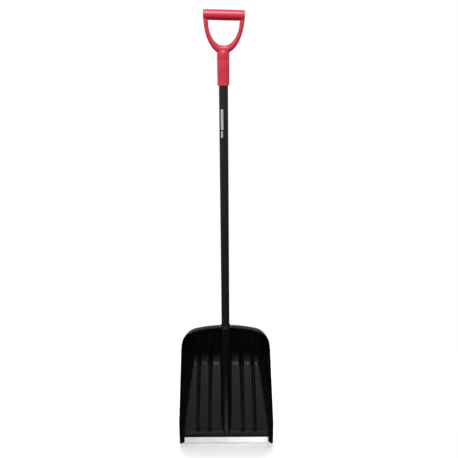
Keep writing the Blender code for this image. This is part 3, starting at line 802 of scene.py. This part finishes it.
def crossbar():
    """The grip's bar, slightly thicker in the middle, with rounded ends."""
    end = [(0.0, BAR_HALF), (BAR_END_R - BAR_ROUND, BAR_HALF), (BAR_END_R - 0.5, BAR_HALF - 0.5)]
    middle = []
    for i in range(BAR_STEPS + 1):
        along = 1.0 - 2.0 * i / BAR_STEPS
        radius = BAR_MID_R - (BAR_MID_R - BAR_END_R) * along ** 2
        middle.append((radius, (BAR_HALF - BAR_ROUND) * along))
    profile = end + middle + [(radius, -height) for radius, height in reversed(end)]
    place = Matrix.Translation((0, 0, BAR_Z * MM)) @ Matrix.Rotation(math.pi / 2, 4, "Y")
    return turned("bar", profile, 80, place)


def yoke():
    """The two arms of the D as one arch between an inner and an outer half ellipse."""
    bm = bmesh.new()
    rings = []
    for i in range(YOKE_STATIONS + 1):
        angle = math.pi * i / YOKE_STATIONS
        inner = Vector((-OPENING_HALF * math.cos(angle), 0, OPENING_Z - OPENING_DEPTH * math.sin(angle)))
        outer = Vector((-YOKE_HALF * math.cos(angle), 0, YOKE_Z - YOKE_DEPTH * math.sin(angle)))
        middle, reach = (inner + outer) / 2, (outer - inner) / 2
        ring = []
        for k in range(YOKE_SIDES):
            around = 2 * math.pi * k / YOKE_SIDES
            across = math.copysign(abs(math.cos(around)) ** YOKE_FULLNESS, math.cos(around))
            deep = math.copysign(abs(math.sin(around)) ** YOKE_FULLNESS, math.sin(around))
            ring.append(bm.verts.new((middle + reach * across + Vector((0, YOKE_THICK * deep, 0))) * MM))
        rings.append(ring)
    for low, high in zip(rings, rings[1:]):
        for k in range(YOKE_SIDES):
            after = (k + 1) % YOKE_SIDES
            bm.faces.new((low[k], low[after], high[after], high[k]))
    bm.faces.new(rings[0])
    bm.faces.new(rings[-1])
    return object_from_bmesh("yoke", bm)


def leaning(ob):
    """Tips everything above LEAN_Z sideways, gradually at first."""
    for vert in ob.data.vertices:
        x, height = vert.co.x / MM, vert.co.z / MM - LEAN_Z
        if height > 0.0:
            turn = LEAN * smooth_step(height, 0.0, LEAN_SPAN)
            vert.co.x = (x * math.cos(turn) + height * math.sin(turn)) * MM
            vert.co.z = (height * math.cos(turn) - x * math.sin(turn) + LEAN_Z) * MM


def bow():
    """Bar, yoke and domed socket top, melted into one moulding with soft inner corners."""
    ob = joined("bow", [crossbar(), yoke(), turned("dome", DOME_PROFILE)])
    melt = ob.modifiers.new("melt", "REMESH")
    melt.mode = "VOXEL"
    melt.voxel_size = VOXEL * MM
    soften = ob.modifiers.new("soften", "SMOOTH")
    soften.factor = 0.5
    soften.iterations = SOFTENING
    applied(ob)
    leaning(ob)
    show(ob, RED, "red_plastic", "d_grip", sharp=70.0)


def grip_socket():
    """The tube of the grip with a bead round its mouth, and the seat of its screw."""
    profile = [(SOCKET_BORE_R, LINE_Z - 0.1), (DOME_R - 0.6, LINE_Z - 0.1), (DOME_R - 0.3, LINE_Z - 0.25),
               (DOME_R - 0.2, LINE_Z - 0.6), (SOCKET_R + 0.6, SEAT_Z)]
    profile += [(SOCKET_R + radius, SOCKET_BOTTOM + height) for radius, height in MOUTH_BEAD]
    profile += [(14.2, SOCKET_BOTTOM), (SOCKET_BORE_R, SOCKET_BOTTOM + 0.4), (SOCKET_BORE_R, LINE_Z - 0.1)]
    show(turned("grip_socket", profile), RED, "red_plastic")
    place = Matrix.Translation(Vector((0, 0, SEAT_Z)) * MM) @ BACKWARDS
    show(turned("grip_screw_seat", SEAT_PROFILE, 64, place), RED, "red_plastic")


# ---------------------------------------------------------------- shaft, wear edge, screws and rivets
TUBE_R, TUBE_HOLE_R, TUBE_EDGE = 13.5, 12.0, 0.3
TUBE_LOW, TUBE_MIDDLE, TUBE_HIGH = 150.5, 700.0, 1371.0


def fine_shaft():
    """The tube with broken edges."""
    rim, mouth = TUBE_R - TUBE_EDGE, TUBE_HOLE_R + 0.2
    profile = [(mouth, TUBE_LOW), (rim, TUBE_LOW), (TUBE_R, TUBE_LOW + 0.4), (TUBE_R, TUBE_MIDDLE),
               (TUBE_R, TUBE_HIGH - 0.4), (rim, TUBE_HIGH), (mouth, TUBE_HIGH),
               (TUBE_HOLE_R, TUBE_HIGH - 0.2), (TUBE_HOLE_R, TUBE_MIDDLE), (TUBE_HOLE_R, TUBE_LOW + 0.2),
               (mouth, TUBE_LOW)]
    show(turned("shaft", profile), COAT, "black_coat", "shaft_tube")


# bars printed on the front of the shaft, in two groups: the middle of the lowest, their number, and the span
# round the tube in degrees
PRINT_GROUPS = ((1168.0, 12, -40.0, -5.0), (1144.5, 4, -38.0, -12.0))
PRINT_PITCH, PRINT_HALF, PRINT_R, PRINT_STEPS = 5.0, 2.1, TUBE_R + 0.05, 6


def print_point(degrees, z):
    """A point just off the tube's front, at an angle to the right and a height in millimetres."""
    angle = math.radians(degrees)
    return (PRINT_R * MM * math.sin(angle), -PRINT_R * MM * math.cos(angle), z * MM)


def printed_bars():
    """Plain pale bars where the tube carries its print."""
    bm = bmesh.new()
    for lowest, count, start, end in PRINT_GROUPS:
        for bar in range(count):
            z = lowest + PRINT_PITCH * bar
            low, high = z - PRINT_HALF, z + PRINT_HALF
            for step in range(PRINT_STEPS):
                first = start + (end - start) * step / PRINT_STEPS
                second = start + (end - start) * (step + 1) / PRINT_STEPS
                spots = ((first, low), (second, low), (second, high), (first, high))
                bm.faces.new([bm.verts.new(print_point(*spot)) for spot in spots])
    bmesh.ops.remove_doubles(bm, verts=bm.verts, dist=1e-6)
    show(object_from_bmesh("printed_bars", bm), INK, "black_coat")


def assign(node, mat):
    """Gives a CAD node its material."""
    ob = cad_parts[node]
    ob.data.materials.clear()
    ob.data.materials.append(mat)
    return ob


scoop()
socket_pieces()
bow()
grip_socket()
fine_shaft()
printed_bars()
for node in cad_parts:
    if node not in ("blade", "shaft_tube", "d_grip"):
        kept = assign(node, ZINC if "screw" in node else ALU)
        # the strip's mirror image would lighten the scoop's lower corners
        kept.visible_glossy = node != "wear_edge"
        bevel(kept, 0.25, 2, 40.0)

scene.view_settings.view_transform = "Standard"
scene.view_settings.look = "None"
